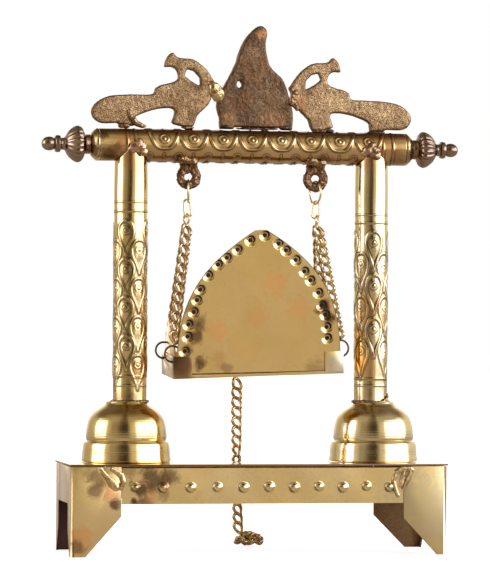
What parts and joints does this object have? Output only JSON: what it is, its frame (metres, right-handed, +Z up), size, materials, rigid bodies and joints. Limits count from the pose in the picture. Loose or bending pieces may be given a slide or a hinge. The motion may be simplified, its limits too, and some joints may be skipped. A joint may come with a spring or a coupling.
{
  "type": "shrine swing",
  "caption": "Brass home-shrine swing: small tray seat with a pointed back, hung on curb chains from a beam with turned finials, on two posts with bell-shaped feet and a folded base.",
  "frame": {"origin": "on the floor under the middle of the base", "axes": "+Z up, +X along the beam and the base, +Y towards the open front of the seat"},
  "size_m": [0.2052, 0.0711, 0.2542],
  "materials": {
    "polished_brass": "polished sheet, lightly tarnished",
    "embossed_brass": "embossed sheet, polished on the high parts",
    "cast_brass": "rough sand-cast back",
    "chain_brass": "bright wire",
    "dark_wire": "heat-darkened wire",
    "solder": "copper-pink brazing lumps"
  },
  "bodies": {
    "frame": {"base_top_plate": "polished_brass", "leg_rear_left": "polished_brass", "leg_rear_right": "polished_brass", "leg_front_left": "polished_brass", "leg_front_right": "polished_brass", "apron_rear": "embossed_brass", "apron_front": "embossed_brass", "apron_left": "polished_brass", "apron_right": "polished_brass", "solder_leg_left": "solder", "solder_leg_right": "solder", "bell_foot_left": "polished_brass", "bell_foot_right": "polished_brass", "post_left": "embossed_brass", "post_right": "embossed_brass", "solder_post_left": "solder", "solder_post_right": "solder", "beam_tube": "embossed_brass", "beam_cap_left": "polished_brass", "beam_cap_right": "polished_brass", "finial_left": "cast_brass", "finial_right": "cast_brass", "crest_plate": "cast_brass", "peacock_left": "cast_brass", "peacock_right": "cast_brass", "swing_eye_left": "cast_brass", "swing_eye_right": "cast_brass"},
    "swing": {"top_ring_left": "chain_brass", "top_ring_right": "chain_brass", "link_ring_left": "chain_brass", "link_ring_right": "chain_brass", "jump_ring_left": "chain_brass", "jump_ring_right": "chain_brass", "chain_rear_left": "chain_brass", "chain_rear_right": "chain_brass", "chain_front_left": "chain_brass", "chain_front_right": "chain_brass", "seat_ring_rear_left": "dark_wire", "seat_ring_rear_right": "dark_wire", "seat_ring_front_left": "dark_wire", "seat_ring_front_right": "dark_wire", "seat_tray": "polished_brass", "seat_back": "polished_brass", "seat_side_left": "polished_brass", "seat_side_right": "polished_brass", "pull_ring": "chain_brass"},
    "pull_upper": {"pull_chain_upper": "chain_brass"},
    "pull_lower": {"pull_chain_lower": "chain_brass", "pull_chain_heap": "chain_brass"}
  },
  "joints": [
    {"name": "swing", "type": "hinge", "parent": "frame", "child": "swing", "pos_m": [0, 0, 0.1762], "axis": [1, 0, 0], "range_deg": [-20, 20]},
    {"name": "pull_ring_bend", "type": "hinge", "parent": "swing", "child": "pull_upper", "pos_m": [-0.0018, 0.0271, 0.0848], "axis": [1, 0, 0], "range_deg": [-60, 60]},
    {"name": "pull_chain_bend", "type": "hinge", "parent": "pull_upper", "child": "pull_lower", "pos_m": [-0.0018, 0.03552, 0.0345], "axis": [1, 0, 0], "range_deg": [-40, 40]}
  ],
  "couplings": [
    {"joint": "pull_ring_bend", "follows": "swing", "ratio": -2.95},
    {"joint": "pull_chain_bend", "follows": "swing", "ratio": 1.95}
  ]
}
